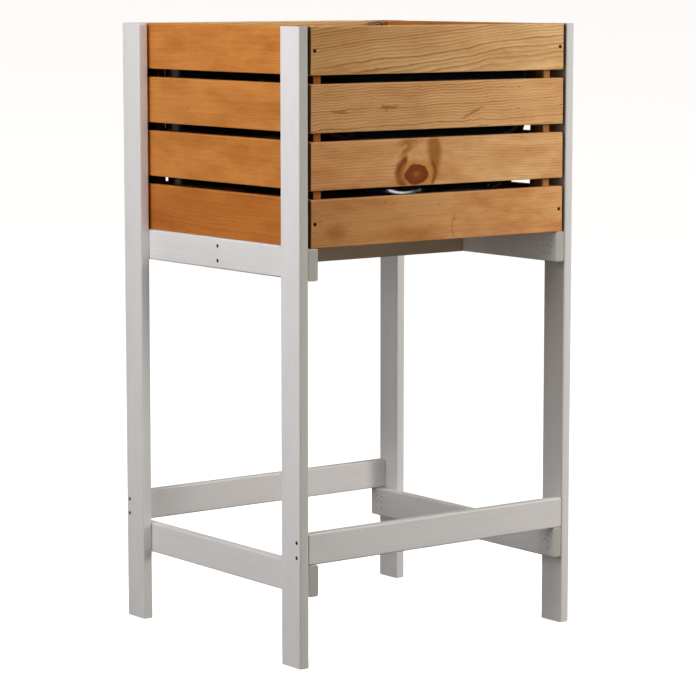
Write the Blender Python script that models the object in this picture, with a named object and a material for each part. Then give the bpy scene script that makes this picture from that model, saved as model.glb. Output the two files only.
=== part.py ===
# A deep slatted box on a painted stand, for sand, water or soil. Metres, +Z up.
# The origin is on the floor, under the middle of the stand. The front faces -Y.

import math

import bmesh
import bpy

# driving dimensions of the stand
overall_width = 0.560
overall_depth = 0.495
leg_height = 1.000
leg_width = 0.050
frame_thickness = 0.018
rail_height = 0.050
lower_rail_bottom = 0.113

# driving dimensions of the box
slat_rows = 4
slat_height = 0.075
slat_gap = 0.0135
slat_thickness = 0.015
box_to_leg = 0.005
post_width = 0.015
post_depth = 0.033
post_below_rim = 0.003
bearer_side = 0.018
floor_boards = 5
floor_board_width = 0.090
floor_board_thickness = 0.012

# driving dimensions of the liner; each corner is a share of its height and a radius
liner_below_rim = 0.010
liner_to_slat = 0.0015
liner_wall = 0.002
liner_corners = ((1.00, 0.078), (0.78, 0.078), (0.47, 0.093), (0.18, 0.138), (0.00, 0.145))
liner_base_radius = 0.015
liner_corner_steps = 8

# driving dimensions of the screws
head_radius = 0.0030
head_rim = 0.0003
cone_depth = 0.0018
shank_radius = 0.0016
tip_length = 0.0035
frame_screw_length = 0.045
slat_screw_length = 0.035
screw_sides = 10
screw_sunk = 0.0003
screw_spread = 0.024
screw_from_edge = 0.009

# edges and clearances
long_edge_radius = 0.003
slat_edge_radius = 0.002
edge_steps = 2
end_chamfer = 0.0008
contact_gap = 0.0003
cutter_overrun = 0.004

# places that follow from the driving dimensions
half_width = overall_width / 2
half_depth = overall_depth / 2
leg_inner_x = half_width - frame_thickness
side_rail_x = leg_inner_x - contact_gap - frame_thickness / 2
box_half_width = leg_inner_x - box_to_leg
box_height = slat_rows * slat_height + (slat_rows - 1) * slat_gap
box_bottom = leg_height - box_height
upper_rail_z = box_bottom - contact_gap - rail_height / 2
lower_rail_z = lower_rail_bottom + rail_height / 2
cross_rail_z = lower_rail_z + rail_height + contact_gap
side_slat_x = box_half_width - slat_thickness / 2
front_slat_y = half_depth - slat_thickness / 2
inner_half_width = box_half_width - slat_thickness
inner_half_depth = half_depth - slat_thickness
bearer_z = box_bottom + contact_gap + bearer_side / 2
floor_z = bearer_z + bearer_side / 2 + contact_gap + floor_board_thickness / 2
floor_top = floor_z + floor_board_thickness / 2

sides = {"left": -1, "right": 1}
ends = {"front": -1, "rear": 1}
axis_numbers = {"x": 0, "y": 1, "z": 2}


def clear_scene():
    for thing in list(bpy.data.objects):
        bpy.data.objects.remove(thing, do_unlink=True)


def make_material(name, colour, roughness, metallic=0.0):
    material = bpy.data.materials.new(name)
    material.use_nodes = True
    shader = material.node_tree.nodes["Principled BSDF"]
    shader.inputs["Base Color"].default_value = (*colour, 1.0)
    shader.inputs["Roughness"].default_value = roughness
    shader.inputs["Metallic"].default_value = metallic
    return material


def add_object(name, mesh_data, material, centre=(0.0, 0.0, 0.0)):
    mesh = bpy.data.meshes.new(name)
    mesh_data.to_mesh(mesh)
    mesh_data.free()
    mesh.shade_smooth()
    mesh.set_sharp_from_angle(angle=math.radians(40))
    mesh.materials.append(material)
    thing = bpy.data.objects.new(name, mesh)
    thing.location = centre
    bpy.context.scene.collection.objects.link(thing)
    return thing


def rounded_outline(half_x, half_y, radius, steps):
    """Points round a rectangle with round corners, anticlockwise."""
    points = []
    corners = ((1, 1), (-1, 1), (-1, -1), (1, -1))
    for number, (sx, sy) in enumerate(corners):
        for step in range(steps + 1):
            angle = math.pi / 2 * (number + step / steps)
            x = sx * (half_x - radius) + radius * math.cos(angle)
            y = sy * (half_y - radius) + radius * math.sin(angle)
            points.append((x, y))
    return points


def skin_rings(body, rings):
    """Joins each ring of points to the next and closes the first and the last."""
    for lower, upper in zip(rings, rings[1:]):
        for number in range(len(lower)):
            after = (number + 1) % len(lower)
            body.faces.new((lower[number], lower[after], upper[after], upper[number]))
    body.faces.new(rings[0])
    body.faces.new(rings[-1])
    bmesh.ops.recalc_face_normals(body, faces=body.faces)


def add_board(name, size, centre, along, material, radius=long_edge_radius):
    """A planed board: its long edges are rounded and its sawn ends are just broken."""
    axis = axis_numbers[along]
    first, second = [number for number in range(3) if number != axis]
    half_length = size[axis] / 2
    stations = (
        (-half_length, end_chamfer),
        (end_chamfer - half_length, 0.0),
        (half_length - end_chamfer, 0.0),
        (half_length, end_chamfer),
    )
    board = bmesh.new()
    rings = []
    for station, inset in stations:
        outline = rounded_outline(
            size[first] / 2 - inset, size[second] / 2 - inset, radius - inset, edge_steps
        )
        ring = []
        for a, b in outline:
            point = [0.0, 0.0, 0.0]
            point[axis] = station
            point[first] = a
            point[second] = b
            ring.append(board.verts.new(point))
        rings.append(ring)
    skin_rings(board, rings)
    return add_object(name, board, material, centre)


def lathe(profile, steps):
    """A closed turned body from (radius, z) points that start and end on the Z axis."""
    body = bmesh.new()
    rings = []
    for radius, z in profile[1:-1]:
        ring = []
        for step in range(steps):
            angle = 2 * math.pi * step / steps
            ring.append(body.verts.new((radius * math.cos(angle), radius * math.sin(angle), z)))
        rings.append(ring)
    first = body.verts.new((0.0, 0.0, profile[0][1]))
    last = body.verts.new((0.0, 0.0, profile[-1][1]))
    for step in range(steps):
        after = (step + 1) % steps
        body.faces.new((first, rings[0][step], rings[0][after]))
        body.faces.new((last, rings[-1][after], rings[-1][step]))
        for upper, lower in zip(rings, rings[1:]):
            body.faces.new((upper[step], lower[step], lower[after], upper[after]))
    bmesh.ops.recalc_face_normals(body, faces=body.faces)
    return body


def screw_profile(length, grown=0.0, overrun=0.0):
    """Countersunk screw, head up. Grown gives the clearance hole that it sits in."""
    head = head_radius + grown
    shank = shank_radius + grown
    return [
        (0.0, overrun),
        (head, overrun),
        (head, -head_rim - grown),
        (shank, -head_rim - cone_depth - grown),
        (shank, -length + tip_length - grown),
        (0.0, -length - 2 * grown),
    ]


def point_along(thing, direction):
    """Turns an object made head up along +Z, so that its head faces the direction."""
    turns = {
        "-x": (0.0, -math.pi / 2, 0.0),
        "+x": (0.0, math.pi / 2, 0.0),
        "-y": (math.pi / 2, 0.0, 0.0),
        "+y": (-math.pi / 2, 0.0, 0.0),
    }
    thing.rotation_euler = turns[direction]


def cut_with(board, cutter):
    cut = board.modifiers.new(cutter.name, "BOOLEAN")
    cut.operation = "DIFFERENCE"
    cut.solver = "EXACT"
    cut.object = cutter


def add_screw(name, place, direction, length, boards, material):
    """A screw with its head just under the surface, and its clearance hole in each board."""
    sign = -1.0 if direction[0] == "-" else 1.0
    sunk = list(place)
    sunk[axis_numbers[direction[1]]] -= sign * screw_sunk
    screw = add_object(name, lathe(screw_profile(length), screw_sides), material, sunk)
    point_along(screw, direction)
    hole = lathe(screw_profile(length, contact_gap, cutter_overrun), screw_sides)
    cutter = add_object(name + "_hole", hole, material, sunk)
    point_along(cutter, direction)
    cutter.hide_render = True
    cutter.display_type = "WIRE"
    for board in boards:
        cut_with(board, cutter)
    return screw


def add_legs(paint):
    legs = {}
    size = (frame_thickness, leg_width, leg_height)
    for side, sx in sides.items():
        for end, sy in ends.items():
            name = f"leg_{end}_{side}"
            x = sx * (half_width - frame_thickness / 2)
            y = sy * (half_depth - leg_width / 2)
            legs[name] = add_board(name, size, (x, y, leg_height / 2), "z", paint)
    return legs


def add_side_rails(paint):
    """Rails on the inner faces of the legs, from the front edge to the rear edge."""
    rails = {}
    size = (frame_thickness, overall_depth, rail_height)
    for level, z in (("upper", upper_rail_z), ("lower", lower_rail_z)):
        for side, sx in sides.items():
            name = f"{level}_side_rail_{side}"
            rails[name] = add_board(name, size, (sx * side_rail_x, 0.0, z), "y", paint)
    return rails


def add_cross_rails(paint):
    """Rails between the legs at the front and rear, lying on the lower side rails."""
    rails = {}
    size = (2 * (leg_inner_x - contact_gap), frame_thickness, rail_height)
    for end, sy in ends.items():
        name = f"lower_{end}_rail"
        y = sy * (half_depth - frame_thickness / 2)
        rails[name] = add_board(name, size, (0.0, y, cross_rail_z), "x", paint)
    return rails


def add_centre_beam(paint):
    length = 2 * (side_rail_x - frame_thickness / 2 - contact_gap)
    size = (length, frame_thickness, rail_height)
    return add_board("centre_beam", size, (0.0, 0.0, upper_rail_z), "x", paint)


def slat_z(row):
    """Rows count from the rim down."""
    return leg_height - slat_height / 2 - (row - 1) * (slat_height + slat_gap)


def add_slats(stain):
    """Front and rear slats run past the ends of the side slats and cover them."""
    slats = {}
    side_length = 2 * (inner_half_depth - contact_gap)
    for row in range(1, slat_rows + 1):
        for end, sy in ends.items():
            name = f"{end}_slat_{row}"
            size = (2 * box_half_width, slat_thickness, slat_height)
            place = (0.0, sy * front_slat_y, slat_z(row))
            slats[name] = add_board(name, size, place, "x", stain, slat_edge_radius)
        for side, sx in sides.items():
            name = f"{side}_slat_{row}"
            size = (slat_thickness, side_length, slat_height)
            place = (sx * side_slat_x, 0.0, slat_z(row))
            slats[name] = add_board(name, size, place, "y", stain, slat_edge_radius)
    return slats


def add_corner_posts(stain):
    """Battens in the inner corners, flat against the side slats, from the floor boards up."""
    bottom = floor_top + contact_gap
    height = leg_height - post_below_rim - bottom
    size = (post_width, post_depth, height)
    for side, sx in sides.items():
        for end, sy in ends.items():
            x = sx * (inner_half_width - contact_gap - post_width / 2)
            y = sy * (inner_half_depth - contact_gap - post_depth / 2)
            name = f"corner_post_{end}_{side}"
            add_board(name, size, (x, y, bottom + height / 2), "z", stain, slat_edge_radius)


def add_floor(raw_pine):
    """Bearers run left to right, the middle one on the centre beam. Boards lie across them."""
    length = 2 * (inner_half_width - contact_gap)
    edge_y = inner_half_depth - bearer_side / 2 - contact_gap
    for name, y in (("front", -edge_y), ("middle", 0.0), ("rear", edge_y)):
        size = (length, bearer_side, bearer_side)
        add_board(f"floor_bearer_{name}", size, (0.0, y, bearer_z), "x", raw_pine, slat_edge_radius)
    board_length = 2 * (inner_half_depth - contact_gap)
    pitch = (length - floor_board_width) / (floor_boards - 1)
    for number in range(floor_boards):
        x = (number - (floor_boards - 1) / 2) * pitch
        size = (floor_board_width, board_length, floor_board_thickness)
        add_board(f"floor_board_{number + 1}", size, (x, 0.0, floor_z), "y", raw_pine, slat_edge_radius)


def add_ring(body, inset, z, radius):
    """One level of the liner, drawn in from its outer face by the inset."""
    half_x = inner_half_width - liner_to_slat - inset
    half_y = inner_half_depth - liner_to_slat - inset
    outline = rounded_outline(half_x, half_y, radius - inset, liner_corner_steps)
    return [body.verts.new((x, y, z)) for x, y in outline]


def add_liner(film):
    """An open bag of film. Its corners clear the posts at the rim and open out below."""
    bottom = floor_top + contact_gap
    wall_bottom = bottom + liner_base_radius
    wall_height = leg_height - liner_below_rim - wall_bottom
    walls = [(wall_bottom + share * wall_height, radius) for share, radius in liner_corners]
    base_radius = liner_corners[-1][1]
    turn = 0.3 * liner_base_radius
    body = bmesh.new()
    rings = [
        add_ring(body, liner_base_radius, bottom, base_radius),
        add_ring(body, turn, bottom + turn, base_radius),
    ]
    rings += [add_ring(body, 0.0, z, radius) for z, radius in reversed(walls)]
    rings += [add_ring(body, liner_wall, z, radius) for z, radius in walls]
    raised = bottom + liner_wall
    rings += [
        add_ring(body, liner_wall + turn, raised + turn, base_radius),
        add_ring(body, liner_wall + liner_base_radius, raised, base_radius),
    ]
    skin_rings(body, rings)
    return add_object("liner", body, film)


def add_rail_screws(legs, cross_rails, steel):
    """Two screws through each leg into the end of the lower front or rear rail."""
    for end, sy in ends.items():
        for side, sx in sides.items():
            boards = (legs[f"leg_{end}_{side}"], cross_rails[f"lower_{end}_rail"])
            y = sy * (half_depth - screw_from_edge)
            for level, dz in (("upper", screw_spread / 2), ("lower", -screw_spread / 2)):
                add_screw(
                    f"rail_screw_{end}_{side}_{level}",
                    (sx * half_width, y, cross_rail_z + dz),
                    "-x" if sx < 0 else "+x",
                    frame_screw_length,
                    boards,
                    steel,
                )


def add_beam_screws(side_rails, beam, steel):
    """Two screws through each upper side rail into the end of the centre beam."""
    for side, sx in sides.items():
        for level, dz in (("upper", screw_spread / 2), ("lower", -screw_spread / 2)):
            add_screw(
                f"beam_screw_{side}_{level}",
                (sx * (side_rail_x + frame_thickness / 2), 0.0, upper_rail_z + dz),
                "-x" if sx < 0 else "+x",
                frame_screw_length,
                (side_rails[f"upper_side_rail_{side}"], beam),
                steel,
            )


def add_slat_screws(slats, steel):
    """One screw at each end of the top and bottom front and rear slats."""
    for end, sy in ends.items():
        for side, sx in sides.items():
            for level, row in (("top", 1), ("bottom", slat_rows)):
                add_screw(
                    f"slat_screw_{end}_{side}_{level}",
                    (sx * side_slat_x, sy * half_depth, slat_z(row)),
                    "-y" if sy < 0 else "+y",
                    slat_screw_length,
                    (slats[f"{end}_slat_{row}"], slats[f"{side}_slat_{row}"]),
                    steel,
                )


def build():
    clear_scene()
    paint = make_material("white_paint", (0.78, 0.78, 0.76), 0.45)
    stain = make_material("honey_stained_pine", (0.50, 0.24, 0.08), 0.50)
    raw_pine = make_material("raw_pine", (0.66, 0.46, 0.26), 0.70)
    film = make_material("black_film", (0.012, 0.012, 0.014), 0.20)
    steel = make_material("dark_screw_steel", (0.10, 0.09, 0.08), 0.40, 1.0)

    legs = add_legs(paint)
    side_rails = add_side_rails(paint)
    cross_rails = add_cross_rails(paint)
    beam = add_centre_beam(paint)
    slats = add_slats(stain)
    add_corner_posts(stain)
    add_floor(raw_pine)
    add_liner(film)
    add_rail_screws(legs, cross_rails, steel)
    add_beam_screws(side_rails, beam, steel)
    add_slat_screws(slats, steel)


build()
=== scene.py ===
# A slatted box of stained pine with a black film liner, on a stand of white-painted boards.
# Metres, +Z up. Boards keep their own shape; this script gives them their finish, and makes
# the film, the staples, the screws and the brads, the floor, the light and the camera.
import math

import bmesh
import bpy
from mathutils import Matrix, Vector, noise
from mathutils.bvhtree import BVHTree


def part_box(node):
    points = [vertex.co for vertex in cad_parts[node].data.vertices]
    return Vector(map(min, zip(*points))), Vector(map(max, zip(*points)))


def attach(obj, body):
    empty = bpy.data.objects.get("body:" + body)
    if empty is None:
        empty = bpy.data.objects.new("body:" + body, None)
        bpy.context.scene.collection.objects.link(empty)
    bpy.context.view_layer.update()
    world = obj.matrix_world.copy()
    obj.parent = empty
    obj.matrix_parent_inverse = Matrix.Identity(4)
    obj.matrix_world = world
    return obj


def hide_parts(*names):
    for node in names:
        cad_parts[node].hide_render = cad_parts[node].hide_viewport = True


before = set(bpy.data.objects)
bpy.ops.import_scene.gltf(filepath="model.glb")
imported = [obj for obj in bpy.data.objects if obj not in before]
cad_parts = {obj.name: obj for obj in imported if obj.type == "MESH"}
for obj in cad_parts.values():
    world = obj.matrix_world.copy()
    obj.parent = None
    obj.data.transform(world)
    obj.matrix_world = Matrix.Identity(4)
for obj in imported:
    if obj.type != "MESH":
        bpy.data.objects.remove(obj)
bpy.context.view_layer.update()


# Small tools that every piece uses

def linearColour(hexColour):
    # sRGB hex to the linear colour that the shaders need
    parts = [int(hexColour[place:place + 2], 16) / 255 for place in (1, 3, 5)]
    linear = [part / 12.92 if part <= 0.04045 else ((part + 0.055) / 1.055) ** 2.4 for part in parts]
    return (*linear, 1.0)


def addNode(tree, kind, *values, sockets=None, **settings):
    # one node and its settings: values fill its sockets in order, or by place or name in "sockets";
    # a node or one of its outputs is linked, and anything else is set
    node = tree.nodes.new("ShaderNode" + kind)
    for name, value in settings.items():
        setattr(node, name, value)
    for place, value in [*enumerate(values), *(sockets or {}).items()]:
        if isinstance(value, bpy.types.Node):
            value = next(output for output in value.outputs if output.enabled)
        if isinstance(value, bpy.types.NodeSocket):
            tree.links.new(value, node.inputs[place])
        else:
            node.inputs[place].default_value = value
    return node


def layUp(tree, colour, *layers):
    # a finish from the bottom up: each layer is its colour, how much of it shows, and how it blends
    for tint, share, *blend in layers:
        under, over = [linearColour(tone) if isinstance(tone, str) else tone for tone in (colour, tint)]
        mixed = addNode(
            tree, "Mix", data_type="RGBA", blend_type=blend[0] if blend else "MIX",
            sockets={0: share, 6: under, 7: over},
        )
        colour = mixed.outputs[2]
    return colour


def newMaterial(name):
    material = bpy.data.materials.new(name)
    material.use_nodes = True
    material.node_tree.nodes.clear()
    return material, material.node_tree


def finishMaterial(tree, shader):
    addNode(tree, "OutputMaterial", sockets={"Surface": shader})


def circle(radius, sides):
    turns = [2 * math.pi * number / sides for number in range(sides)]
    return [(radius * math.cos(turn), radius * math.sin(turn)) for turn in turns]


def joinRings(body, rings):
    count = len(rings[0])
    for upper, lower in zip(rings, rings[1:]):
        for number in range(count):
            after = (number + 1) % count
            body.faces.new((upper[number], upper[after], lower[after], lower[number]))


def finishMesh(body, name, material, sharp=None, outward=True):
    # "sharp" is the angle in degrees from which an edge stays crisp
    if outward:
        bmesh.ops.recalc_face_normals(body, faces=body.faces)
    mesh = bpy.data.meshes.new(name)
    body.to_mesh(mesh)
    body.free()
    mesh.shade_smooth()
    if sharp:
        mesh.set_sharp_from_angle(angle=math.radians(sharp))
    mesh.materials.append(material)
    return mesh


def newObject(name, data):
    made = bpy.data.objects.new(name, data)
    bpy.context.scene.collection.objects.link(made)
    return made


def addPiece(name, mesh):
    piece = newObject(name, mesh)
    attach(piece, "root")
    return piece


def middleOf(node):
    low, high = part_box(node)
    return Vector([(a + b) / 2 for a, b in zip(low, high)])


def sizeOf(node):
    low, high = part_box(node)
    return Vector([b - a for a, b in zip(low, high)])


# Camera, floor and light

cameraView = {
    "place": (-2.8230, -3.7154, 1.0673),
    "turn": -37.250,  # degrees round from the front
    "pitch": 7.414,  # degrees down
    "lens": 145.589,
    "sensor": 36.0,
}

stageLook = {
    "flatRadius": 9.0,
    "coveRadius": 3.0,
    "wallTop": 8.0,
    "steps": 96,
    "colour": "#F4F3F1",
    "glow": 0.84,
}

studioLight = {
    # "mirrored" is whether a lamp shows as a highlight in glossy things; one without a colour is white
    "lamps": {
        "key_softbox": dict(
            place=(-1.40, -0.32, 1.78), aim=(-0.26, -0.10, 0.75), size=(0.8, 0.7),
            watts=13.0, mirrored=True,
        ),
        "side_softbox": dict(
            place=(-2.00, -0.30, 0.60), aim=(0.00, -0.05, 0.50), size=(0.9, 0.9),
            watts=8.6, mirrored=False,
        ),
        "front_softbox": dict(
            place=(2.40, -1.80, 1.40), aim=(0.15, -0.25, 0.70), size=(1.0, 1.0),
            watts=55.0, colour="#FFFAF2", mirrored=False,
        ),
        "small_softbox": dict(
            place=(1.64, -2.07, 1.41), aim=(-0.05, -0.23, 0.74), size=(0.34, 0.34),
            watts=6.0, colour="#F0F6FF", mirrored=True,
        ),
        "low_softbox": dict(
            place=(0.70, -1.50, 0.25), aim=(0.00, -0.20, 0.20), size=(0.9, 0.4),
            watts=1.4, colour="#FFFAF2", mirrored=True,
        ),
        "top_softbox": dict(
            place=(0.35, 0.60, 2.60), aim=(0.00, 0.00, 0.80), size=(0.9, 0.9),
            watts=5.0, mirrored=True,
        ),
        "rear_softbox": dict(
            place=(-1.70, 0.90, 1.00), aim=(-0.26, 0.15, 0.60), size=(0.8, 1.2),
            watts=2.4, mirrored=False,
        ),
    },
    "skyTop": 0.30,
    "skyLevel": 0.24,
    "skyBottom": 0.06,
    "skyColour": "#FFFCF8",
    "groundColour": "#F2D9BE",
}


def makeCamera(view):
    turn, pitch = math.radians(view["turn"]), math.radians(view["pitch"])
    right = Vector((math.cos(turn), math.sin(turn), 0.0))
    back = Vector((math.sin(turn) * math.cos(pitch), -math.cos(turn) * math.cos(pitch), math.sin(pitch)))
    up = back.cross(right)
    data = bpy.data.cameras.new("camera")
    data.lens = view["lens"]
    data.sensor_width = view["sensor"]
    data.clip_end = 200.0
    camera = newObject("camera", data)
    axes = Matrix((right, up, back)).transposed().to_4x4()
    camera.matrix_world = Matrix.Translation(view["place"]) @ axes
    bpy.context.scene.camera = camera


def makeStage(look):
    # plain pale studio paper: a flat floor that curves up into a wall all round
    flat, cove = look["flatRadius"], look["coveRadius"]
    quarter = [math.pi / 2 * step / 12 for step in range(13)]
    profile = [(0.0, 0.0), (1.5, 0.0), (4.0, 0.0)]
    profile += [(flat + cove * math.sin(turn), cove * (1 - math.cos(turn))) for turn in quarter]
    profile += [((flat + cove) * math.cos(turn), look["wallTop"] + 5.0 * math.sin(turn)) for turn in quarter]
    body = bmesh.new()
    rings = []
    for radius, z in profile[1:-1]:
        rings.append([body.verts.new((x, y, z)) for x, y in circle(radius, look["steps"])])
    first = body.verts.new((0.0, 0.0, 0.0))
    last = body.verts.new((0.0, 0.0, profile[-1][1]))
    for step in range(look["steps"]):
        after = (step + 1) % look["steps"]
        body.faces.new((first, rings[0][step], rings[0][after]))
        body.faces.new((last, rings[-1][after], rings[-1][step]))
        for lower, upper in zip(rings, rings[1:]):
            body.faces.new((lower[step], upper[step], upper[after], lower[after]))
    # matt paper, lit a little from behind so that it stays pale away from the lamps
    material, tree = newMaterial("matt studio paper")
    colour = linearColour(look["colour"])
    paper = addNode(tree, "BsdfDiffuse", sockets={"Color": colour, "Roughness": 0.6})
    glow = addNode(tree, "Emission", sockets={"Color": colour, "Strength": look["glow"]})
    finishMaterial(tree, addNode(tree, "AddShader", paper, glow))
    floor = newObject("studio_floor", finishMesh(body, "studio_floor", material, outward=False))
    # the paper is seen, and takes shadows, but it doesn't throw light back at the object
    floor.visible_diffuse = False
    floor.visible_glossy = False
    floor.visible_transmission = False
    floor.visible_shadow = False


def makeLight(name, values):
    data = bpy.data.lights.new(name, "AREA")
    data.shape = "RECTANGLE"
    data.size, data.size_y = values["size"]
    data.energy = values["watts"]
    data.color = linearColour(values.get("colour", "#FFFFFF"))[:3]
    lamp = newObject(name, data)
    lamp.location = values["place"]
    towards = Vector(values["aim"]) - Vector(values["place"])
    lamp.rotation_euler = towards.to_track_quat("-Z", "Y").to_euler()
    lamp.visible_camera = False
    lamp.visible_glossy = values["mirrored"]


def makeSky(light):
    # soft light from all round: strongest from above, and weak and warm from below eye level
    world = bpy.data.worlds.new("studio")
    world.use_nodes = True
    tree = world.node_tree
    tree.nodes.clear()
    way = addNode(tree, "TexCoord").outputs["Generated"]
    height = addNode(tree, "SeparateXYZ", way).outputs[2]
    upper = addNode(tree, "MapRange", height, 0.0, 1.0, light["skyLevel"], light["skyTop"])
    lower = addNode(tree, "MapRange", height, -0.03, 0.0, light["skyBottom"], light["skyLevel"])
    above = addNode(tree, "Math", height, 0.0, operation="GREATER_THAN")
    strength = addNode(tree, "Mix", data_type="FLOAT", sockets={0: above, 2: lower, 3: upper})
    warm = addNode(tree, "MapRange", height, -0.3, 0.1, 0.0, 1.0)
    colour = layUp(tree, light["groundColour"], (light["skyColour"], warm))
    glow = addNode(tree, "Background", sockets={"Color": colour, "Strength": strength})
    addNode(tree, "OutputWorld", sockets={"Surface": glow})
    # the room beyond the lamps is dark, so only the lamps themselves glint in the film
    world.cycles_visibility.glossy = False
    bpy.context.scene.world = world


makeCamera(cameraView)
makeStage(stageLook)
for lamp, values in studioLight["lamps"].items():
    makeLight(lamp, values)
makeSky(studioLight)
bpy.context.scene.view_settings.view_transform = "Standard"
print("camera, floor and light made")


# Wood. Every board is cut from its own place in a log: the rings run on through its edges and ends.

smooth = {"interpolation_type": "SMOOTHSTEP"}  # a remap that eases in and out
axisOrder = {"x": (0, 2, 1), "y": (1, 2, 0), "z": (2, 1, 0)}  # along, across the face, through

grainDefaults = {
    "ringWidth": 0.0027,  # 2 to 3 mm a year in quick-grown pine
    "pith": (-0.050, 0.060),  # how far off the middle of the tree was: across, through
    "lean": (0.04, 0.0),  # how the log tapers along the board
    "wander": (0.007, 0.005),  # slow bends of the trunk
    "ripple": 0.0006,  # short waves of the fibre
    "rippleLength": 0.030,
    "contrast": 1.0,
    "blotch": 0.5,
    "specks": 0.5,
    "tone": ("#FFFFFF", "#FFFFFF"),  # how the colour drifts from one end to the other: the wood's own tone, and on the front slats and the centre beam painted shade
    "seed": 1.0,
    "knots": (),
    "marks": (),
    "arcs": (),
}


def boardPlace(tree, node, along):
    # x along the grain, y across the face, z through the thickness, from the board's middle
    order = axisOrder[along]
    middle = middleOf(node)
    found = addNode(tree, "TexCoord").outputs["Object"]
    parts = addNode(tree, "SeparateXYZ", found)
    turned = addNode(tree, "CombineXYZ", *[parts.outputs[axis] for axis in order])
    return addNode(tree, "VectorMath", turned, [middle[axis] for axis in order], operation="SUBTRACT")


def faceTurn(tree, along):
    # 1 on sawn ends, 0 on planed faces
    normal = addNode(tree, "NewGeometry").outputs["Normal"]
    parts = addNode(tree, "SeparateXYZ", normal)
    size = addNode(tree, "Math", parts.outputs[axisOrder[along][0]], operation="ABSOLUTE")
    return addNode(tree, "MapRange", size, 0.6, 0.9, **smooth)


def oneFace(tree, way):
    # 1 on the face that looks the given way, 0 on the others
    normal = addNode(tree, "NewGeometry").outputs["Normal"]
    facing = addNode(tree, "VectorMath", normal, way, operation="DOT_PRODUCT")
    return addNode(tree, "MapRange", facing, 0.6, 0.9, **smooth)


def ellipseReach(tree, place, centre, radii, angle=0.0):
    # 0 in the middle of an ellipse on the board's face and 1 on its outline, and the place in it
    flat = addNode(tree, "VectorMath", place, (1.0, 1.0, 0.0), operation="MULTIPLY")
    turned = addNode(
        tree, "Mapping", flat, (*centre, 0.0), (0.0, 0.0, math.radians(angle)), (*radii, 1.0),
        vector_type="TEXTURE",
    )
    return addNode(tree, "VectorMath", turned, operation="LENGTH"), turned


def stretchedNoise(tree, domain, stretch, detail, roughness):
    # soft noise, drawn out by different amounts along, across and through the board
    spread = addNode(tree, "VectorMath", domain, stretch, operation="MULTIPLY")
    return addNode(
        tree, "TexNoise", sockets={"Vector": spread, "Scale": 1.0, "Detail": detail, "Roughness": roughness},
    )


def stirred(tree, place, field, amount):
    # a place pushed to and fro by a noise field, by up to half of each amount
    centred = addNode(tree, "VectorMath", field.outputs[1], (0.5, 0.5, 0.5), operation="SUBTRACT")
    return addNode(tree, "VectorMath", centred, amount, place, operation="MULTIPLY_ADD")


def roundKnots(tree, place, knots):
    # fibres part and flow round each knot, as water does round a stone
    for knot in knots:
        reach = ellipseReach(tree, place, knot["centre"], knot["radii"])[0]
        square = addNode(tree, "Math", reach, 2.0, operation="POWER")
        outside = addNode(tree, "Math", square, 1.0, operation="MAXIMUM")
        pull = addNode(tree, "Math", -0.92, outside, operation="DIVIDE")
        side = addNode(tree, "VectorMath", place, (*knot["centre"], 0.0), operation="SUBTRACT")
        across = addNode(tree, "VectorMath", side, (0.0, 1.0, 0.0), operation="MULTIPLY")
        moved = addNode(tree, "VectorMath", across, operation="SCALE", sockets={"Scale": pull})
        place = addNode(tree, "VectorMath", moved, place, operation="ADD")
    return place


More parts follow.
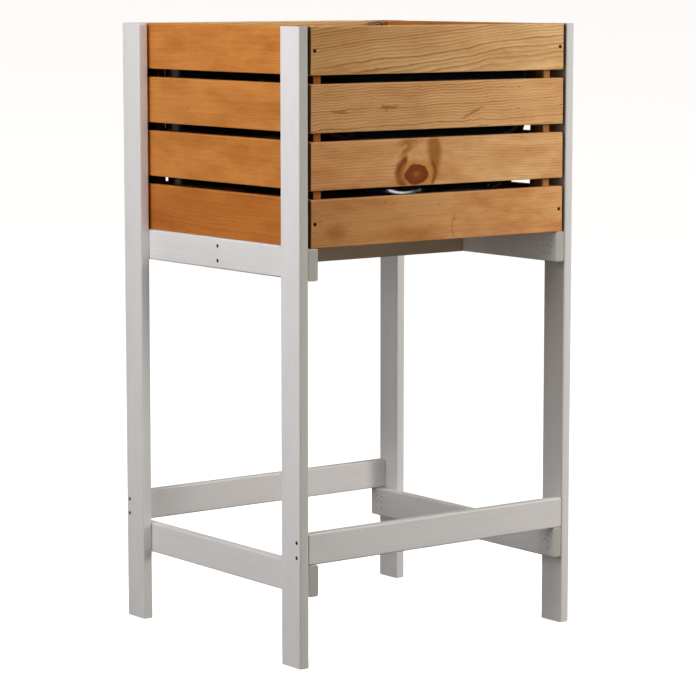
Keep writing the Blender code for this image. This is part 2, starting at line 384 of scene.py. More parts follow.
def woodGrain(tree, node, along, grain):
    # gives late: how much dark late wood, fibre: fine streaks, blotch: uneven soaking, all 0 to 1
    place = boardPlace(tree, node, along)
    seed = grain["seed"]
    domain = addNode(tree, "VectorMath", place, (seed * 1.7, seed * 3.1, seed * 5.3), operation="ADD")
    flowing = roundKnots(tree, place, grain["knots"])

    slow = stretchedNoise(tree, domain, (4.0, 9.0, 9.0), 2.0, 0.5)
    wide, deep = grain["wander"]
    bend = stirred(tree, flowing, slow, (0.0, 2 * wide, 2 * deep))
    quick = stretchedNoise(tree, domain, (1 / grain["rippleLength"], 60.0, 60.0), 2.0, 0.6)
    rippled = stirred(tree, bend, quick, (0.0, 4 * grain["ripple"], 4 * grain["ripple"]))

    alongOnly = addNode(tree, "SeparateXYZ", place).outputs[0]
    lean = [addNode(tree, "Math", alongOnly, -rise, operation="MULTIPLY") for rise in grain["lean"]]
    taper = addNode(tree, "CombineXYZ", 0.0, *lean)
    leaned = addNode(tree, "VectorMath", rippled, taper, operation="ADD")
    fromPith = addNode(tree, "VectorMath", leaned, (0.0, *grain["pith"]), operation="SUBTRACT")
    crossWise = addNode(tree, "VectorMath", fromPith, (0.0, 1.0, 1.0), operation="MULTIPLY")
    radius = addNode(tree, "VectorMath", crossWise, operation="LENGTH")
    years = addNode(tree, "Math", radius, grain["ringWidth"], operation="DIVIDE")
    season = addNode(tree, "Math", years, operation="FRACT")
    year = addNode(tree, "Math", years, operation="FLOOR")
    summer = addNode(tree, "TexWhiteNoise", noise_dimensions="1D", sockets={"W": year})
    band = addNode(tree, "ValToRGB", season)
    ramp = band.color_ramp
    ramp.interpolation = "EASE"
    stops = ((0.0, 0.35), (0.15, 0.0), (0.70, 0.42), (0.86, 1.0), (1.0, 0.35))
    while len(ramp.elements) < len(stops):
        ramp.elements.new(0.5)
    for element, (stop, level) in zip(ramp.elements, stops):
        element.position = stop
        element.color = (level, level, level, 1.0)
    strong = addNode(tree, "MapRange", summer, 0.0, 1.0, 0.35, 1.0)
    faint = addNode(tree, "MapRange", slow, 0.38, 0.62, 0.45, 1.15)
    uneven = addNode(tree, "Math", strong, faint, operation="MULTIPLY")
    late = addNode(tree, "Math", band, uneven, operation="MULTIPLY")

    # fibres are 0.04 mm across; the streaks here are bundles 0.8 mm across and 40 mm long
    fibre = stretchedNoise(tree, domain, (25.0, 1250.0, 1250.0), 3.0, 0.65)
    blotch = stretchedNoise(tree, domain, (9.0, 28.0, 28.0), 4.0, 0.6)
    half = sizeOf(node)[axisOrder[along][0]] / 2
    drift = addNode(tree, "MapRange", alongOnly, -half, half)
    # the colour multiplied in from end to end: the wood's own tone, and on the front slats and the centre
    # beam painted shade
    nearTone, farTone = grain["tone"]
    return {
        "place": place, "domain": domain, "late": late, "fibre": fibre, "blotch": blotch,
        "drift": drift, "tone": layUp(tree, nearTone, (farTone, drift)),
    }


def speckMask(tree, domain, amount):
    # short dark resin flecks, 1 to 2 mm, a few to a hand's breadth
    spread = addNode(tree, "VectorMath", domain, (55.0, 190.0, 190.0), operation="MULTIPLY")
    cells = addNode(tree, "TexVoronoi", sockets={"Vector": spread, "Scale": 1.0, "Randomness": 1.0})
    near = addNode(tree, "MapRange", cells, 0.10, 0.22, 1.0, 0.0, **smooth)
    chance = addNode(tree, "SeparateXYZ", cells.outputs[1])
    chosen = addNode(tree, "Math", chance, 1.0 - 0.035 * amount, operation="GREATER_THAN")
    faint = addNode(tree, "Math", near, 0.65, operation="MULTIPLY")
    return addNode(tree, "Math", faint, chosen, operation="MULTIPLY")


def markMask(tree, place, domain, marks):
    # brown smudges and broken arcs where resin or bark grew in
    roughen = stretchedNoise(tree, domain, (90.0, 90.0, 90.0), 3.0, 0.6)
    total = None
    for mark in marks:
        torn = stirred(tree, place, roughen, (mark.get("rough", 0.008),) * 3)
        reach, turned = ellipseReach(tree, torn, mark["centre"], mark["radii"], mark.get("angle", 0.0))
        near, far = mark.get("core", 0.4), 1.0
        if "ring" in mark:
            off = addNode(tree, "Math", reach, 1.0, operation="SUBTRACT")
            reach = addNode(tree, "Math", off, operation="ABSOLUTE")
            near, far = 0.2 * mark["ring"], mark["ring"]
        hit = addNode(tree, "MapRange", reach, near, far, mark["strength"], 0.0, **smooth)
        if "ring" in mark:
            sideways = addNode(tree, "SeparateXYZ", turned)
            window = addNode(tree, "MapRange", sideways, *mark["side"], **smooth)
            hit = addNode(tree, "Math", hit, window, operation="MULTIPLY")
        total = hit if total is None else addNode(tree, "Math", total, hit, operation="MAXIMUM")
    return total


def edgeMask(tree, place, node, along, reach):
    # 1 on the long edges, where two faces meet, and 0 a few millimetres in
    size = sizeOf(node)
    parts = addNode(tree, "SeparateXYZ", place)
    near = []
    for number in (1, 2):
        half = size[axisOrder[along][number]] / 2
        off = addNode(tree, "Math", parts.outputs[number], operation="ABSOLUTE")
        near.append(addNode(tree, "MapRange", off, half - reach, half, **smooth))
    return addNode(tree, "Math", *near, operation="MULTIPLY")


stainedPine = {
    "early": "#FFD194",
    "late": "#AE6A34",
    "soaked": "#D08640",
    "speck": "#6E3C12",
    "mark": "#A0620C",
    "knot": "#8A3D00",
    "knotRim": "#582500",
    # dark end grain: partly stain soaked into the ends, partly painted shade that keeps the gaps at the slat
    # ends black
    "end": "#3A1F0C",
    "edge": "#F2C088",
    "roughness": (0.46, 0.60),
    "bumpDepth": 0.00025,
}


def makeStainedPine(node, along, look, grain):
    # planed pine, stained honey brown and lightly oiled: satin, with late wood as darker bands
    material, tree = newMaterial("honey stained pine " + node)
    wood = woodGrain(tree, node, along, grain)
    contrast = addNode(tree, "Math", wood["late"], grain["contrast"], operation="MULTIPLY")
    soak = addNode(tree, "MapRange", wood["blotch"], 0.42, 0.75, 0.0, grain["blotch"])
    streak = addNode(tree, "MapRange", wood["fibre"], 0.25, 0.75, 0.86, 1.12)
    colour = layUp(
        tree, look["early"], (look["late"], contrast), (look["soaked"], soak),
        (streak, 1.0, "MULTIPLY"), (wood["tone"], 1.0, "MULTIPLY"),
    )
    colour = layUp(tree, colour, (look["speck"], speckMask(tree, wood["domain"], grain["specks"])))
    for group, shade in (("marks", "mark"), ("arcs", "knot")):
        if grain[group]:
            mask = markMask(tree, wood["place"], wood["domain"], grain[group])
            colour = layUp(tree, colour, (look[shade], mask))
    for knot in grain["knots"]:
        colour = paintKnot(tree, wood, knot, colour, look)
    edge = edgeMask(tree, wood["place"], node, along, 0.0030)
    worn = addNode(tree, "Math", edge, 0.55, operation="MULTIPLY")
    colour = layUp(tree, colour, (look["edge"], worn))
    # painted shade: the faces that look left are coloured black
    if "outerFaceShade" in look:
        colour = layUp(tree, colour, (look["outerFaceShade"], oneFace(tree, (-1.0, 0.0, 0.0))))
    # the sawn ends take the end colour: end grain soaks up more stain, and on the stained slats its dark is
    # also painted shade, which keeps the narrow gaps between the slat ends and the legs black
    endsAndShade = addNode(tree, "Math", faceTurn(tree, along), 0.9, operation="MULTIPLY")
    colour = layUp(tree, colour, (look["end"], endsAndShade))

    roughness = addNode(tree, "MapRange", wood["fibre"], 0.2, 0.8, *look["roughness"])
    relief = addNode(tree, "Math", wood["late"], 0.5, wood["fibre"], operation="MULTIPLY_ADD")
    bump = addNode(tree, "Bump", sockets={"Strength": 0.6, "Distance": look["bumpDepth"], "Height": relief})
    shader = addNode(tree, "BsdfPrincipled", sockets={
        "Base Color": colour, "Roughness": roughness, "Normal": bump, "IOR": 1.5,
        "Specular IOR Level": 0.25,  # open pores break up the gloss
    })
    finishMaterial(tree, shader)
    return material


def paintKnot(tree, wood, knot, colour, look):
    # the end of a branch: its own rings, a dark rim of bark, and a soft brown halo
    roughen = stretchedNoise(tree, wood["domain"], (70.0, 70.0, 70.0), 2.0, 0.5)
    torn = stirred(tree, wood["place"], roughen, (0.012, 0.012, 0.012))
    reach = ellipseReach(tree, torn, knot["centre"], knot["radii"])[0]
    turns = addNode(tree, "Math", reach, 2 * math.pi * knot["rings"], operation="MULTIPLY")
    wave = addNode(tree, "Math", turns, operation="SINE")
    shade = addNode(tree, "MapRange", wave, -1.0, 1.0, 0.0, 0.30)
    off = addNode(tree, "Math", reach, 0.95, operation="SUBTRACT")
    fromRim = addNode(tree, "Math", off, operation="ABSOLUTE")
    # each falls from its strength to nothing: over which reach, and from how much
    falls = ((reach, 0.0, 0.55, 0.45), (reach, 1.0, 1.9, knot["halo"]),
             (reach, 0.90, 1.02, knot["strength"]), (fromRim, 0.0, 0.13, knot["rim"]))
    heart, halo, body, rim = [
        addNode(tree, "MapRange", way, near, far, most, 0.0, **smooth) for way, near, far, most in falls
    ]
    inside = layUp(tree, look["knot"], (look["knotRim"], shade), (look["soaked"], heart))
    return layUp(tree, colour, (look["soaked"], halo), (inside, body), (look["knotRim"], rim))


# each front slat as its own piece of timber; places are along and across from the slat's middle
# each front slat's tone pair darkens its left end: painted shade, for the weaker light on that side
slatGrain = {
    "front_slat_1": {
        "ringWidth": 0.0040, "pith": (-0.060, 0.050), "lean": (0.080, 0.0), "wander": (0.014, 0.007),
        "ripple": 0.0010, "rippleLength": 0.040, "contrast": 1.0, "specks": 0.4, "seed": 1.3,
        "tone": ("#D9CFBA", "#FFFFFF"),
    },
    "front_slat_2": {
        "ringWidth": 0.0036, "pith": (-0.075, 0.045), "lean": (0.030, 0.0), "wander": (0.008, 0.005),
        "ripple": 0.0013, "rippleLength": 0.024, "contrast": 1.0, "specks": 0.8, "seed": 2.6,
        "tone": ("#E0D2C1", "#F8EFEA"),
        "marks": (
            dict(centre=(-0.107, -0.001), radii=(0.026, 0.0042), angle=4, strength=0.80, rough=0.009),
            dict(centre=(-0.203, -0.006), radii=(0.022, 0.0036), angle=-6, strength=0.70),
            dict(centre=(0.063, -0.014), radii=(0.034, 0.0034), angle=22, strength=0.55),
        ),
    },
    "front_slat_3": {
        "ringWidth": 0.0042, "pith": (-0.110, 0.030), "lean": (-0.010, 0.0), "wander": (0.008, 0.004),
        "ripple": 0.0006, "rippleLength": 0.050, "contrast": 0.62, "specks": 0.1, "seed": 3.9,
        "blotch": 0.8, "tone": ("#E2CAB6", "#FFF9F6"),
        "knots": (
            dict(centre=(-0.0502, -0.0194), radii=(0.0235, 0.0160), rings=3.5, strength=0.97, rim=0.5,
                 halo=0.7),
        ),
        "arcs": (
            dict(centre=(-0.049, -0.0170), radii=(0.0350, 0.026), ring=0.42, side=(-0.45, -0.68),
                 strength=1.0, rough=0.005),
            dict(centre=(-0.050, -0.018), radii=(0.0370, 0.028), ring=0.16, side=(0.72, 0.90),
                 strength=0.95, rough=0.005),
        ),
        "marks": (
            dict(centre=(-0.0140, 0.016), radii=(0.0190, 0.054), angle=3, strength=0.85, core=0.35,
                 rough=0.012),
            dict(centre=(-0.064, 0.033), radii=(0.036, 0.012), angle=4, strength=0.80, core=0.15,
                 rough=0.022),
            dict(centre=(-0.070, 0.018), radii=(0.025, 0.0065), angle=30, strength=0.75, core=0.2,
                 rough=0.012),
        ),
    },
    "front_slat_4": {
        "ringWidth": 0.0032, "pith": (-0.130, 0.040), "lean": (0.012, 0.0), "wander": (0.006, 0.004),
        "ripple": 0.0006, "rippleLength": 0.050, "contrast": 0.80, "specks": 0.9, "seed": 5.2,
        "blotch": 0.8, "tone": ("#CFB498", "#FAE7D6"),
        "marks": (
            dict(centre=(-0.210, -0.014), radii=(0.034, 0.020), strength=0.58, core=0.1, rough=0.014),
            dict(centre=(0.034, -0.016), radii=(0.012, 0.018), ring=0.30, side=(-0.2, -0.6),
                 strength=0.35, rough=0.014),
        ),
    },
}

# the side slats have soaked up more stain, and their grain is finer
sideStain = {
    "early": "#E29347", "late": "#A25C20", "soaked": "#B86824", "speck": "#6A360F", "edge": "#DA9850",
}
sideTone = {1: "#FFFFFF", 2: "#F9FBFF", 3: "#F7F8F5", 4: "#E8D9C1"}


def slatLook(side, row):
    look = dict(stainedPine)
    grain = dict(grainDefaults)
    if side in ("left", "right"):
        look.update(sideStain)
        shift = 0.0015 * row
        grain.update({
            "ringWidth": 0.0021, "pith": (-0.070 - 8 * shift, 0.050 + 6 * shift),
            "lean": (-0.03 + 0.012 * row, 0.0), "contrast": 0.95, "specks": 0.9, "blotch": 0.8,
            "tone": (sideTone[row], sideTone[row]),
        })
    grain["seed"] = {"front": 0.0, "rear": 20.0, "left": 40.0, "right": 60.0}[side] + 1.3 * row
    return look, grain


def finishBoard(node, material):
    # joins the loose facets and lets the broad faces govern how the small rounded edges are shaded
    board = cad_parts[node]
    weld = board.modifiers.new("weld", "WELD")
    weld.merge_threshold = 0.00002
    board.data.shade_smooth()
    weigh = board.modifiers.new("weighted normals", "WEIGHTED_NORMAL")
    weigh.mode = "FACE_AREA"
    weigh.weight = 100
    board.data.materials.clear()
    board.data.materials.append(material)


for side in ("front", "rear", "left", "right"):
    for row in range(1, 5):
        node = f"{side}_slat_{row}"
        along = "x" if side in ("front", "rear") else "y"
        look, grain = slatLook(side, row)
        grain.update(slatGrain.get(node, {}))
        finishBoard(node, makeStainedPine(node, along, look, grain))
print("slats finished")

# the battens at the left took up as much stain as the side slats; those at the right stayed tan
postStain = {
    "left": {
        "early": "#C8772F", "late": "#96521C", "soaked": "#A05A20", "edge": "#C47C38",
        "outerFaceShade": "#150E08",  # painted shade: the outer faces, which look out behind the side slats, are coloured black
    },
    "right": {"early": "#C9935A", "late": "#96642F", "soaked": "#A26F3A", "edge": "#CB985F"},
}
for end in ("front", "rear"):
    for side in ("left", "right"):
        node = f"corner_post_{end}_{side}"
        look = dict(stainedPine, **postStain[side])
        # painted shade: the rear left batten stands in deep shade behind the left slats, so it is coloured
        # near black all over
        if (end, side) == ("rear", "left"):
            look.update({"early": "#2A1A0E", "late": "#1C1109", "soaked": "#1C1109", "edge": "#2A1A0E"})
        grain = dict(grainDefaults, ringWidth=0.0024, pith=(0.020, 0.030), lean=(0.01, 0.01), contrast=0.6)
        grain["seed"] = {"front": 80.0, "rear": 90.0}[end] + {"left": 0.0, "right": 4.0}[side]
        finishBoard(node, makeStainedPine(node, "z", look, grain))
print("corner posts finished")


whitePaint = {
    "paint": "#EFEDED",
    "thinCoatAndShade": "#E2DFDC",
    "late": "#E3E0DE",
    # darker ends: paint soaked into end grain, and painted shade for the rail ends under the box
    "end": "#AEAEA2",
    "roughness": (0.38, 0.52),
    "bumpDepth": 0.00018,
}


def makePaintedPine(node, along, look, grain):
    # softwood under two thin brushed coats of white paint: satin, with the late wood just showing
    material, tree = newMaterial("brushed white paint " + node)
    wood = woodGrain(tree, node, along, grain)
    ghost = addNode(tree, "Math", wood["late"], 0.55 * grain["contrast"], operation="MULTIPLY")
    # brush marks run with the board, 1.5 mm apart
    brush = stretchedNoise(tree, wood["domain"], (5.0, 650.0, 650.0), 2.0, 0.5)
    streak = addNode(tree, "MapRange", brush, 0.3, 0.7, 0.97, 1.02)
    cloud = addNode(tree, "MapRange", wood["blotch"], 0.45, 0.8, 0.0, 0.5)
    edge = edgeMask(tree, wood["place"], node, along, 0.0035)
    rubbed = addNode(tree, "Math", edge, wood["blotch"], operation="MULTIPLY")
    colour = layUp(
        tree, look["paint"], (look["late"], ghost), (streak, 1.0, "MULTIPLY"), (look["thinCoatAndShade"], cloud),
        (look["thinCoatAndShade"], rubbed), (wood["tone"], 1.0, "MULTIPLY"),
    )
    # painted shade: one face darkened, by a tone that drifts along the board
    if "paintedShadeFace" in grain:
        way, low, high = grain["paintedShadeFace"]
        thinCoatAndShade = layUp(tree, low, (high, wood["drift"]))
        paintedShadeColour = layUp(tree, colour, (thinCoatAndShade, 1.0, "MULTIPLY"))
        colour = layUp(tree, colour, (paintedShadeColour, oneFace(tree, way)))
    # the sawn ends are darker: the paint soaks into the end grain, and the rest is painted shade for the
    # rail ends that sit in shade under the box
    endsAndShade = addNode(tree, "Math", faceTurn(tree, along), 0.7, operation="MULTIPLY")
    colour = layUp(tree, colour, (look["end"], endsAndShade))
    roughness = addNode(tree, "MapRange", brush, 0.3, 0.7, *look["roughness"])
    relief = addNode(tree, "Math", wood["late"], 0.6, brush, operation="MULTIPLY_ADD")
    bump = addNode(tree, "Bump", sockets={"Strength": 0.5, "Distance": look["bumpDepth"], "Height": relief})
    shader = addNode(tree, "BsdfPrincipled", sockets={
        "Base Color": colour, "Roughness": roughness, "Normal": bump, "IOR": 1.48,
    })
    finishMaterial(tree, shader)
    return material


paintedBoards = {
    "z": [f"leg_{end}_{side}" for end in ("front", "rear") for side in ("left", "right")],
    "y": [f"{level}_side_rail_{side}" for level in ("upper", "lower") for side in ("left", "right")],
    "x": ["lower_front_rail", "lower_rear_rail", "centre_beam"],
}
# painted shade, board by board: faces darkened as shade, with which way they look and their shade at the low
# end and the high end; and a board darkened all over
paintedShadeByBoard = {
    # painted shade: the near leg's front face, which gets less light than its left face, is darkened, more
    # towards the top
    "leg_front_left": {"paintedShadeFace": ((0.0, -1.0, 0.0), "#F2F3EE", "#DEE0D8")},
    # painted shadow: the right front leg's inner face is darkened towards the top, where the box shades it
    # from the lamps at the left
    "leg_front_right": {"paintedShadeFace": ((-1.0, 0.0, 0.0), "#FFFFFF", "#A39A8E")},
    # painted shade: the beam under the box is made darker and warmer all over, for the shade there and the
    # warm light thrown down from the wood
    "centre_beam": {"tone": ("#EAD5BC", "#EAD5BC")},
}
seed = 100.0
for along, nodes in paintedBoards.items():
    for node in nodes:
        seed += 2.3
        grain = dict(grainDefaults, ringWidth=0.0030, contrast=0.5, seed=seed)
        grain.update({"lean": (0.008, 0.0), "wander": (0.006, 0.004), **paintedShadeByBoard.get(node, {})})
        finishBoard(node, makePaintedPine(node, along, whitePaint, grain))
print("painted frame finished")


rawPine = {
    "early": "#E2C391",
    "late": "#C79A60",
    "soaked": "#D0A872",
    "speck": "#7A5326",
    "end": "#B58A55",
    "edge": "#E6CB9F",
    "roughness": (0.62, 0.78),
    "bumpDepth": 0.00040,
}
for number in range(1, 6):
    node = f"floor_board_{number}"
    grain = dict(grainDefaults, seed=200.0 + 3.1 * number, lean=(0.02, 0.0))
    grain["pith"] = (-0.03 + 0.02 * number, 0.05)
    # a floor board lies flat, so its face runs left to right
    finishBoard(node, makeStainedPine(node, "y", rawPine, grain))
for number, end in enumerate(("front", "middle", "rear")):
    node = f"floor_bearer_{end}"
    grain = dict(grainDefaults, seed=230.0 + 3.1 * number)
    finishBoard(node, makeStainedPine(node, "x", rawPine, grain))
print("floor finished")


# Liner: one sheet of film, folded over at the rim, stapled to the top slats and slack below

filmShape = {
    # how round the corners are at each share of the height: tight at the rim, open at the base
    "rightCorners": ((0.00, 0.145), (0.18, 0.138), (0.47, 0.091), (0.72, 0.0728), (1.00, 0.0727)),
    "frontLeftCorner": ((0.00, 0.116), (0.18, 0.112), (0.47, 0.084), (0.72, 0.0728), (1.00, 0.0727)),
    "rearLeftCorner": ((0.00, 0.0785), (0.22, 0.0785), (0.40, 0.0727), (1.00, 0.0727)),
    "baseRadius": 0.015,
    "straightPoints": 64,
    "cornerPoints": 44,
    "rows": 84,
    "baseRings": 30,
    "hem": 0.024,
    "hemRows": 8,
    "thickness": 0.0003,
    "foldDepth": 0.0032,
    # slack rolls low on the front wall: x, z, half length, half height, depth
    "rolls": ((-0.058, 0.749, 0.042, 0.010, 0.0045), (0.124, 0.749, 0.016, 0.010, 0.0045)),
}

blackFilm = {
    "colour": "#050709",
    "roughness": (0.09, 0.19),
    "crinkle": 0.0010,
}


def makeFilm(look):
    # blown polythene film: black, glossy and crinkled, so that it throws small soft highlights
    material, tree = newMaterial("black polythene film")
    place = addNode(tree, "TexCoord").outputs["Object"]
    # crinkles some 40 mm long, and scuffs of about 6 mm
    crinkle = addNode(
        tree, "TexNoise", noise_type="RIDGED_MULTIFRACTAL",
        sockets={"Vector": place, "Scale": 26.0, "Detail": 2.0, "Roughness": 0.4},
    )
    scuff = stretchedNoise(tree, place, (160.0, 160.0, 160.0), 4.0, 0.7)
    roughness = addNode(tree, "MapRange", scuff, 0.35, 0.7, *look["roughness"])
    bump = addNode(tree, "Bump", sockets={"Strength": 0.12, "Distance": look["crinkle"], "Height": crinkle})
    shader = addNode(tree, "BsdfPrincipled", sockets={
        "Base Color": linearColour(look["colour"]), "Roughness": roughness, "Normal": bump, "IOR": 1.51,
    })
    finishMaterial(tree, shader)
    return material


def cornerRadii(share, shape):
    radii = []
    for corner in ("rightCorners", "rearLeftCorner", "frontLeftCorner", "rightCorners"):
        rows = shape[corner]
        radius = rows[-1][1]
        for (lowShare, lowRadius), (highShare, highRadius) in zip(rows, rows[1:]):
            if lowShare <= share <= highShare:
                radius = lowRadius + (highRadius - lowRadius) * (share - lowShare) / (highShare - lowShare)
                break
        radii.append(radius)
    return radii


def filmOutline(halfX, halfY, radii, shape):
    # points round a rectangle with round corners: each has its way out, and 0 to 1 to 0 round a corner
    rearRight, rearLeft, frontLeft, frontRight = radii
    outline = []
    quarters = (
        ((halfX, frontRight - halfY), (halfX, halfY - rearRight), (1, 0), (1, 1), rearRight, 0.0),
        ((halfX - rearRight, halfY), (rearLeft - halfX, halfY), (0, 1), (-1, 1), rearLeft, 0.5),
        ((-halfX, halfY - rearLeft), (-halfX, frontLeft - halfY), (-1, 0), (-1, -1), frontLeft, 1.0),
        ((frontLeft - halfX, -halfY), (halfX - frontRight, -halfY), (0, -1), (1, -1), frontRight, 1.5),
    )
    for start, end, out, side, radius, turn in quarters:
        centre = Vector((side[0] * (halfX - radius), side[1] * (halfY - radius)))
        for step in range(shape["straightPoints"]):
            share = step / shape["straightPoints"]
            outline.append((Vector(start).lerp(Vector(end), share), Vector(out), 0.0))
        for step in range(shape["cornerPoints"]):
            share = step / shape["cornerPoints"]
            angle = math.pi * (turn + share / 2)
            way = Vector((math.cos(angle), math.sin(angle)))
            outline.append((centre + way * radius, way, math.sin(math.pi * share)))
    return outline


def noiseAt(x, y, z):
    return noise.noise(Vector((x, y, z)))


def foldDepth(around, height, corner, shape):
    # how far the film stands in from the slats: a few long soft ridges, and small ones on them
    upright = noiseAt(around * 6.0 + 1.5 * noiseAt(around * 3, height * 4, 7.0), height * 1.5, 1.0)
    level = noiseAt(around * 1.8, height * 8.0 + 1.5 * noiseAt(around * 4, height * 3, 3.0), 5.0)
    small = noiseAt(around * 19.0, height * 15.0, 9.0)
    ridge = (1 - abs(upright)) ** 4 * (0.45 + 0.75 * corner) + 0.5 * (1 - abs(level)) ** 4
    return shape["foldDepth"] * (ridge + 0.10 * abs(small))


def rollDepth(point, out, z, shape):
    if out.y > -0.99:
        return 0.0
    total = 0.0
    for x, height, halfLength, halfHeight, depth in shape["rolls"]:
        reach = ((point.x - x) / halfLength) ** 2 + ((z - height) / halfHeight) ** 2
        total += depth * math.exp(-reach)
    return total


def makeLiner(shape, material):
    low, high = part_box("liner")
    halfX, halfY = high[0] - 0.0002, high[1] - 0.0002
    bottom, rim = low[2] + 0.0002, high[2] - 0.0005
    wallBottom = bottom + shape["baseRadius"]
    count = 4 * (shape["straightPoints"] + shape["cornerPoints"])
    turnLength = 1.75 / count  # it is about 1.75 m round the walls
    battens = [middleOf(node).xy for node in sorted(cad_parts) if node.startswith("corner_post_")]
    postPlace = middleOf("corner_post_rear_right")
    body = bmesh.new()
    rings = []

    def rimHeight(number, point):
        # the edge waves a little, and one pleat stands up at the rear right corner
        wave = 0.0012 * noiseAt(number * turnLength * 14.0, 2.0, 0.0)
        away = ((point.x - postPlace.x + 0.011) ** 2 + (point.y - postPlace.y + 0.011) ** 2) ** 0.5
        return rim + wave + 0.0062 * math.exp(-(away / 0.0090) ** 4)

    def addRing(makePoint, share):
        outline = filmOutline(halfX, halfY, cornerRadii(share, shape), shape)
        ring = []
        for number, (point, out, corner) in enumerate(outline):
            ring.append(body.verts.new(makePoint(number, point, out, corner)))
        rings.append(ring)

    def wallPoint(number, point, out, corner, z, extra):
        slack = min(1.0, max(0.0, (rim - 0.004 - z) / 0.05)) * 0.85 + 0.15
        # the upper corners are drawn tight round the battens, and the rear left one all the way down
        for place in battens:
            near = min(1.0, max(0.0, 0.14 - (point - place).length) / 0.05)
            startZ = 0.75 if place.x < 0 < place.y else 0.79
            slack *= 1 - 0.95 * near * min(1.0, max(0.0, (z - startZ) / 0.06))
        depth = foldDepth(number * turnLength, z, corner, shape) * slack + rollDepth(point, out, z, shape)
        flat = point - out * (depth + extra)
        return (flat.x, flat.y, z)

    # the hem hangs inside, turns over the rim and runs down behind the slats
    for step in range(shape["hemRows"] + 1):
        below = 1 - step / shape["hemRows"]

        def hemPoint(number, point, out, corner):
            uneven = 1 + 0.08 * noiseAt(number * turnLength * 20, 4.0, 2.0)
            z = rimHeight(number, point) - shape["hem"] * below * uneven
            return wallPoint(number, point, out, corner, z, 0.0011 + 0.0010 * below)

        addRing(hemPoint, 1.0)

    def rimPoint(number, point, out, corner):
        return wallPoint(number, point, out, corner, rimHeight(number, point) + 0.0004, 0.0006)

    addRing(rimPoint, 1.0)
    for row in range(shape["rows"] + 1):
        down = row / shape["rows"]

        def downPoint(number, point, out, corner):
            top = rimHeight(number, point)
            return wallPoint(number, point, out, corner, top + (wallBottom - top) * down, 0.0)

        addRing(downPoint, 1 - down)
    for step in range(1, 7):
        angle = math.pi / 2 * step / 6
        inset = shape["baseRadius"] * (1 - math.cos(angle))
        z = wallBottom - shape["baseRadius"] * math.sin(angle)

        def turnPoint(number, point, out, corner):
            depth = foldDepth(number * turnLength, wallBottom, corner, shape) * (1 - step / 6) + inset
            flat = point - out * depth
            return (flat.x, flat.y, z)

        addRing(turnPoint, 0.0)
    for step in range(1, shape["baseRings"] + 1):
        share = step / shape["baseRings"] * 0.985

        def basePoint(number, point, out, corner):
            flat = (point - out * shape["baseRadius"]) * (1 - share)
            crease = (1 - abs(noiseAt(flat.x * 9, flat.y * 9, 21.0))) ** 6
            finer = (1 - abs(noiseAt(flat.x * 26, flat.y * 26, 31.0))) ** 5
            lift = (0.0040 * crease + 0.0012 * finer) * min(1.0, share * 6)
            return (flat.x, flat.y, bottom + lift)

        addRing(basePoint, 0.0)
    joinRings(body, rings)
    body.faces.new(list(reversed(rings[-1])))
    film = addPiece("liner_film", finishMesh(body, "liner_film", material))
    solid = film.modifiers.new("thickness", "SOLIDIFY")
    solid.thickness = shape["thickness"]
    solid.offset = 0.0
    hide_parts("liner")
    return film


film = makeLiner(filmShape, makeFilm(blackFilm))
print("liner made")


# Staples: driven from inside through the hem into the top slats, three to a wall

stapleShape = {
    "crown": 0.0113,
    "wide": 0.0012,
    "thick": 0.0006,
    "leg": 0.0095,
    "bend": 0.0007,
    "below": 0.0115,  # under the rim
    "spacing": (0.115, 0.095),  # along the front and rear, along the sides
    "lean": 5.0,  # degrees either way, as they are driven by hand
}

# zinc-plated flat wire: bright grey, with fine dull marks from the die
stapleWire = {
    "colour": "#B9B6AE", "roughness": (0.24, 0.42), "tint": (0.85, 1.05), "grit": 1400.0, "dents": 0.0,
}


def makeSteel(name, look):
    # plated or phosphated steel: a metal, uneven at the size of its grit, so that it shines in patches
    material, tree = newMaterial(name)
    place = addNode(tree, "TexCoord").outputs["Object"]
    grit = stretchedNoise(tree, place, (look["grit"],) * 3, 3.0, 0.6)
    roughness = addNode(tree, "MapRange", grit, 0.3, 0.7, *look["roughness"])
    tint = addNode(tree, "MapRange", grit, 0.3, 0.7, *look["tint"])
    sockets = {"Base Color": layUp(tree, look["colour"], (tint, 1.0, "MULTIPLY")), "Roughness": roughness}
    if look["dents"]:
        sockets["Normal"] = addNode(
            tree, "Bump", sockets={"Strength": look["dents"], "Distance": 0.00005, "Height": grit},
        )
    finishMaterial(tree, addNode(tree, "BsdfPrincipled", sockets={"Metallic": 1.0, **sockets}))
    return material


def addStaple(body, place, out, lean, shape):
    # flat wire bent twice: the crown lies on the hem and both legs point outward
    along = Vector((-out.y, out.x, 0.0))
    along = (along * math.cos(lean) + Vector((0.0, 0.0, 1.0)) * math.sin(lean)).normalized()
    upward = out.cross(along).normalized()
    half = shape["crown"] / 2 - shape["thick"] / 2
    path = [(-half, shape["leg"])]
    for side in (-1, 1):
        for step in range(5):
            angle = math.pi / 2 * (step / 4 if side < 0 else 1 - step / 4)
            reach = half - shape["bend"] + shape["bend"] * math.cos(angle)
            path.append((side * reach, shape["bend"] * (1 - math.sin(angle))))
    path.append((half, shape["leg"]))
    rings = []
    for number, (sideways, outward) in enumerate(path):
        before = path[max(0, number - 1)]
        after = path[min(len(path) - 1, number + 1)]
        run = Vector((after[0] - before[0], after[1] - before[1])).normalized()
        normal = Vector((-run.y, run.x))
        ring = []
        for across, through in ((-1, -1), (1, -1), (1, 1), (-1, 1)):
            flat = Vector((sideways, outward)) + normal * through * shape["thick"] / 2
            ring.append(body.verts.new(
                place + along * flat.x + out * flat.y + upward * across * shape["wide"] / 2
            ))
        rings.append(ring)
    body.faces.new(rings[0])
    body.faces.new(rings[-1])
    joinRings(body, rings)


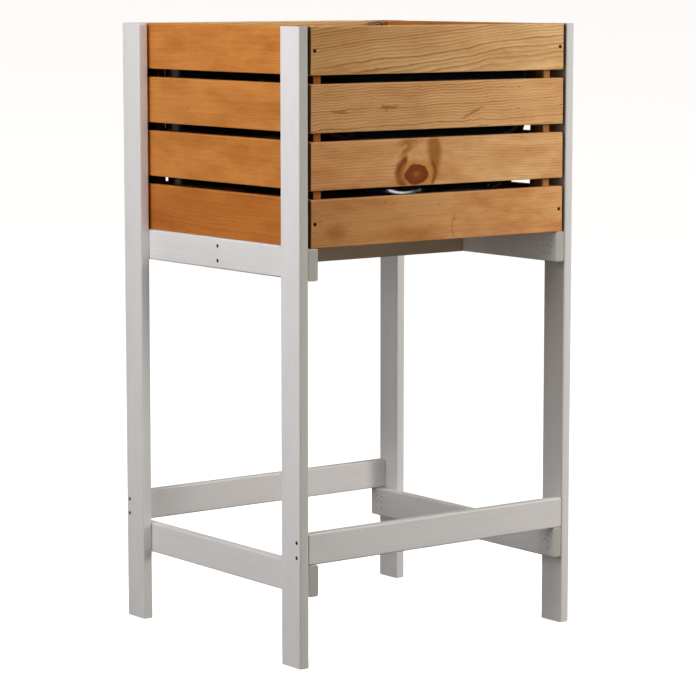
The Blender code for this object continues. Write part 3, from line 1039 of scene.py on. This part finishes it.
def makeStaples(shape, material):
    # each crown is laid on the film where a line from the middle of the box meets the hem
    found = BVHTree.FromObject(film, bpy.context.evaluated_depsgraph_get())
    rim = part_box("liner")[1][2]
    body = bmesh.new()
    walls = (((0, -1), 0), ((0, 1), 0), ((-1, 0), 1), ((1, 0), 1))
    for number, (way, kind) in enumerate(walls):
        out = Vector((*way, 0.0))
        sideways = Vector((-out.y, out.x, 0.0))
        for step in (-1, 0, 1):
            stir = noise.noise_vector(Vector((number * 5.3, step * 3.7, 1.0)))
            start = sideways * (step * shape["spacing"][kind] + 0.006 * stir.x)
            start.z = rim - shape["below"] + 0.0015 * stir.y
            hit = found.ray_cast(start, out)[0]
            lean = math.radians(shape["lean"]) * stir.z * 1.5
            addStaple(body, hit - out * (shape["thick"] / 2 + 0.0001), out, lean, shape)
    addPiece("hem_staples", finishMesh(body, "hem_staples", material, 40))


makeStaples(stapleShape, makeSteel("zinc plated staple wire", stapleWire))
print("staples made")


# Screws: countersunk, with a cross recess and a coarse wood thread

screwShape = {
    "headRadius": 0.0030,
    "rim": 0.0003,
    "cone": 0.0018,
    "core": 0.0012,
    "plain": 0.004,  # the shank between the head and the thread
    "thread": 0.0005,
    "pitch": 0.0022,
    "tip": 0.0035,
    "sides": 32,
    "crossLong": 0.0019,
    "crossWide": 0.00048,
    "crossDeep": 0.0013,
}

# phosphated steel: near black with a brown cast, dull and slightly uneven
darkScrew = {
    "colour": "#4A4038", "roughness": (0.32, 0.55), "tint": (0.75, 1.15), "grit": 900.0, "dents": 0.3,
}


def crossDepth(x, y, shape):
    # four tapering arms that run down to a point
    reach = 0.0
    for a, b in ((abs(x), abs(y)), (abs(y), abs(x))):
        if a < shape["crossLong"] and b < shape["crossWide"]:
            reach = max(reach, 1 - 0.75 * a / shape["crossLong"])
    return shape["crossDeep"] * reach


def makeScrewMesh(name, length, shape, material):
    sides = shape["sides"]
    body = bmesh.new()
    rings = []
    topRings = 14
    centre = body.verts.new((0.0, 0.0, -shape["crossDeep"]))
    for step in range(1, topRings + 1):
        rounded = 0.00006 * (step / topRings) ** 8
        rings.append([
            body.verts.new((x, y, -crossDepth(x, y, shape) - rounded))
            for x, y in circle(shape["headRadius"] * step / topRings, sides)
        ])
    neck = -shape["rim"] - shape["cone"]
    for radius, z in ((shape["headRadius"], -shape["rim"]), (shape["core"] + 0.0002, neck)):
        rings.append([body.verts.new((x, y, z)) for x, y in circle(radius, sides)])
    threadTop, threadEnd = neck - shape["plain"], -length + 0.0004
    rows = int((threadTop - threadEnd) / shape["pitch"] * 6)
    for row in range(rows + 1):
        z = threadTop + (threadEnd - threadTop) * row / rows
        point = min(1.0, (z + length) / shape["tip"])
        fade = min(1.0, row / 6)
        ring = []
        for turn in range(sides):
            phase = ((threadTop - z) / shape["pitch"] + turn / sides) % 1.0
            ridge = max(0.0, 1 - abs(phase - 0.5) * 4)
            radius = (shape["core"] + shape["thread"] * ridge * fade) * max(0.06, point)
            angle = 2 * math.pi * turn / sides
            ring.append(body.verts.new((radius * math.cos(angle), radius * math.sin(angle), z)))
        rings.append(ring)
    for turn in range(sides):
        after = (turn + 1) % sides
        body.faces.new((centre, rings[0][turn], rings[0][after]))
    joinRings(body, rings)
    body.faces.new(rings[-1])
    return finishMesh(body, name, material, 35)


def makeScrews(shape, material):
    meshes = {}
    for node in sorted(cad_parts):
        if "_screw_" not in node:
            continue
        size = sizeOf(node)
        axis = max(range(3), key=lambda number: size[number])
        middle = middleOf(node)
        wayOut = Vector((0.0, 0.0, 0.0))
        wayOut[axis] = 1.0 if middle[axis] > 0 else -1.0
        length = size[axis]
        key = round(length, 4)
        if key not in meshes:
            name = f"screw_{int(round(length * 1000))}_mm"
            meshes[key] = makeScrewMesh(name, length, shape, material)
        screw = addPiece(node + "_cross", meshes[key])
        head = middle + wayOut * (length / 2)
        turn = wayOut.to_track_quat("Z", "Y").to_matrix().to_4x4()
        spin = Matrix.Rotation(0.7 * len(node) + 13.0 * middle.z, 4, "Z")
        screw.matrix_world = Matrix.Translation(head) @ turn @ spin
        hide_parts(node)


screwSteel = makeSteel("phosphated screw steel", darkScrew)
makeScrews(screwShape, screwSteel)
print("screws made")


# Brads: seven to a joint, through each side rail into the leg

bradLayout = {
    "columns": (0.0140, 0.0300),  # in from the end of the rail
    "rows": (-0.0115, 0.0, 0.0115),
    "scatter": 0.0014,
    "headRadius": 0.0010,
    "proud": 0.00012,
    "length": 0.006,
}


def makeBrads(layout, material):
    body = bmesh.new()
    for level in ("upper", "lower"):
        for side, sx in (("left", 1), ("right", -1)):
            node = f"{level}_side_rail_{side}"
            low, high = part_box(node)
            middle = middleOf(node)
            face = high[0] if sx > 0 else low[0]
            for sy in (-1, 1):
                edge = low[1] if sy < 0 else high[1]
                places = [(column, row) for column in layout["columns"] for row in layout["rows"]]
                places.append((0.5 * sum(layout["columns"]), layout["rows"][1] * 0.5 + 0.004))
                for number, (column, row) in enumerate(places):
                    stir = noise.noise_vector(Vector((number * 3.7, sx * 5.1 + sy * 9.3, middle.z * 31.0)))
                    y = edge - sy * (column + layout["scatter"] * stir.x)
                    z = middle.z + row + layout["scatter"] * stir.y
                    addBradHead(body, Vector((face, y, z)), sx, layout)
    addPiece("rail_brads", finishMesh(body, "rail_brads", material, 35))


def addBradHead(body, place, sx, layout):
    proud = layout["proud"]
    profile = (
        (0.45, proud), (0.85, proud * 0.9), (1.0, proud * 0.4), (1.0, -0.0005),
        (0.6, -0.0009), (0.6, -layout["length"]),
    )
    rings = []
    for share, out in profile:
        outline = circle(layout["headRadius"] * share, 12)
        rings.append([body.verts.new(place + Vector((sx * out, y, z))) for y, z in outline])
    body.faces.new(rings[0])
    body.faces.new(rings[-1])
    joinRings(body, rings)


makeBrads(bradLayout, screwSteel)
print("brads made")
